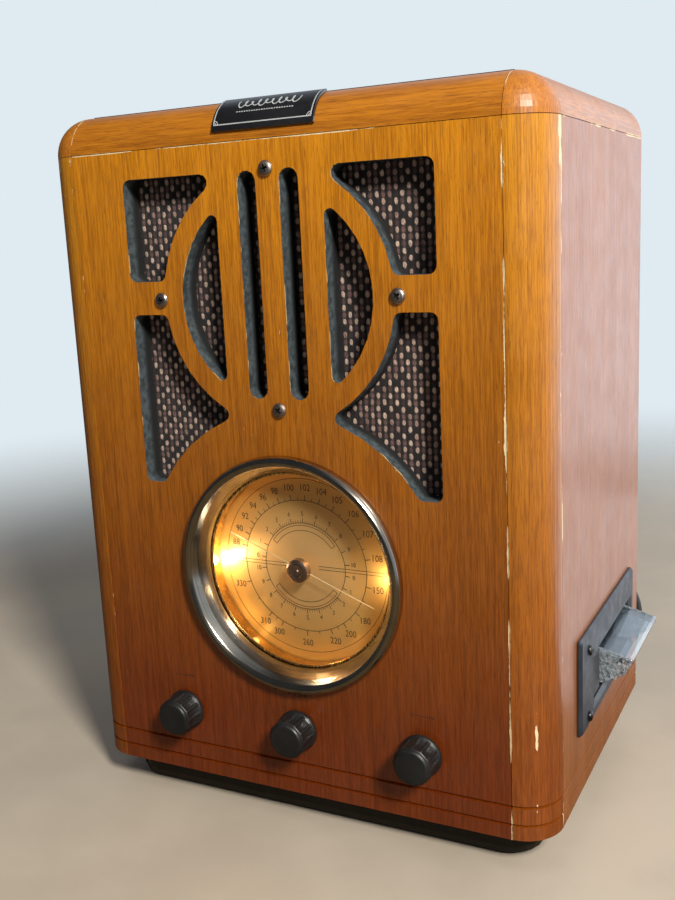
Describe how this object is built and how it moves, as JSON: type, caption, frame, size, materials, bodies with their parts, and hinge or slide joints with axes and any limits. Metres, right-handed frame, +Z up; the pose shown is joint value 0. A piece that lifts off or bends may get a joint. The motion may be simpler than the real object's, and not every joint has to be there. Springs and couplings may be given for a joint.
{
  "type": "table radio",
  "caption": "Wooden table radio with round dial, three knobs, pierced speaker grille, black plinth, side cassette deck with a clear flap, back cover and mains lead.",
  "frame": {"origin": "middle of the footprint on the underside of the plinth, where it rests on a table", "axes": "+Z up, the dial faces -Y, the cassette deck is on the +X side"},
  "size_m": [0.2755, 0.3485, 0.3589],
  "materials": {
    "veneer": "satin amber-brown veneer",
    "fibreboard": "bare",
    "black_lacquer": "gloss black lacquer",
    "black_hardboard": "matt black",
    "grille_cloth": "dark woven cloth with pale dots",
    "chrome": "polished",
    "brass": "polished",
    "dial_gold": "satin gold with dark printing",
    "clear_acrylic": "clear",
    "dark_hub": "turned",
    "pale_needle": "satin",
    "steel": "turned",
    "screw_steel": "bright",
    "zinc_plate": "zinc plated",
    "cone_paper": "matt",
    "ferrite": "matt",
    "white_plastic": "satin",
    "phenolic": "satin",
    "dial_cord": "twisted yarn",
    "knob_plastic": "satin dark grey",
    "badge_black": "gloss black with a silver border",
    "deck_grey": "satin dark grey",
    "key_plastic": "satin black",
    "board_green": "solder mask",
    "laminations": "varnished stack",
    "black_rubber": "satin"
  },
  "bodies": {
    "cabinet": {"plinth": "black_lacquer", "base_board": "fibreboard", "front_panel": "veneer", "corner_moulding_left": "veneer", "corner_moulding_right": "veneer", "top_front_moulding": "veneer", "top_side_moulding_left": "veneer", "top_side_moulding_right": "veneer", "top_corner_left": "veneer", "top_corner_right": "veneer", "top_panel": "veneer", "side_panel_left": "veneer", "side_panel_right": "veneer", "back_cover": "black_hardboard", "back_screw_1": "screw_steel", "back_screw_2": "screw_steel", "back_screw_3": "screw_steel", "back_screw_4": "screw_steel", "grille_cloth": "grille_cloth", "baffle_board": "fibreboard", "speaker_frame": "zinc_plate", "speaker_cone": "cone_paper", "speaker_magnet": "ferrite", "grille_screw_top": "screw_steel", "grille_screw_bottom": "screw_steel", "grille_screw_left": "screw_steel", "grille_screw_right": "screw_steel", "dial_bezel": "chrome", "dial_lip": "brass", "dial_lens": "clear_acrylic", "dial_plate": "dial_gold", "dial_belt": "dial_cord", "tuning_capacitor": "zinc_plate", "volume_potentiometer": "zinc_plate", "selector_switch": "phenolic", "badge": "badge_black", "cassette_bezel": "deck_grey", "bezel_screw_upper": "screw_steel", "bezel_screw_lower": "screw_steel", "cassette_well": "zinc_plate", "circuit_board": "board_green", "transformer": "laminations", "cord_strain_relief": "black_rubber", "mains_cord": "black_rubber", "cord_coil": "black_rubber", "mains_plug": "black_rubber"},
    "volume_control": {"volume_knob": "knob_plastic", "volume_shaft": "steel"},
    "selector_control": {"selector_knob": "knob_plastic", "selector_shaft": "steel"},
    "tuning_control": {"tuning_knob": "knob_plastic", "tuning_shaft": "steel"},
    "dial_hand": {"dial_pointer": "pale_needle", "pointer_hub": "dark_hub", "dial_shaft": "steel", "dial_drum": "white_plastic"},
    "deck_flap": {"cassette_flap": "clear_acrylic"},
    "eject": {"eject_key": "key_plastic"},
    "supply_reel": {"reel_spindle_supply": "white_plastic"},
    "takeup_reel": {"reel_spindle_takeup": "white_plastic"}
  },
  "joints": [
    {"name": "volume_turn", "type": "hinge", "parent": "cabinet", "child": "volume_control", "pos_m": [-0.067, -0.0945, 0.0535], "axis": [0, -1, 0], "range_deg": [-150, 150]},
    {"name": "selector_turn", "type": "hinge", "parent": "cabinet", "child": "selector_control", "pos_m": [0, -0.0945, 0.0535], "axis": [0, -1, 0], "range_deg": [-30, 30]},
    {"name": "tuning_turn", "type": "hinge", "parent": "cabinet", "child": "tuning_control", "pos_m": [0.067, -0.0945, 0.0535], "axis": [0, -1, 0], "range_deg": [-604, 52]},
    {"name": "pointer_turn", "type": "hinge", "parent": "cabinet", "child": "dial_hand", "pos_m": [0, -0.0945, 0.134], "axis": [0, -1, 0], "range_deg": [-151, 13]},
    {"name": "flap_turn", "type": "hinge", "parent": "cabinet", "child": "deck_flap", "pos_m": [0.1272, 0.029, 0.079], "axis": [0, 1, 0], "range_deg": [-12, 76]},
    {"name": "eject_press", "type": "slide", "parent": "cabinet", "child": "eject", "axis": [-1, 0, 0], "range_m": [0, 0.003], "stiffness_N_per_m": 150, "springref_m": -0.002},
    {"name": "supply_spin", "type": "hinge", "parent": "cabinet", "child": "supply_reel", "pos_m": [0.052, 0.029, 0.056], "axis": [0, 0, 1], "continuous": true},
    {"name": "takeup_spin", "type": "hinge", "parent": "cabinet", "child": "takeup_reel", "pos_m": [0.0945, 0.029, 0.056], "axis": [0, 0, 1], "continuous": true}
  ],
  "couplings": [
    {"joint": "pointer_turn", "follows": "tuning_turn", "ratio": 0.25}
  ]
}
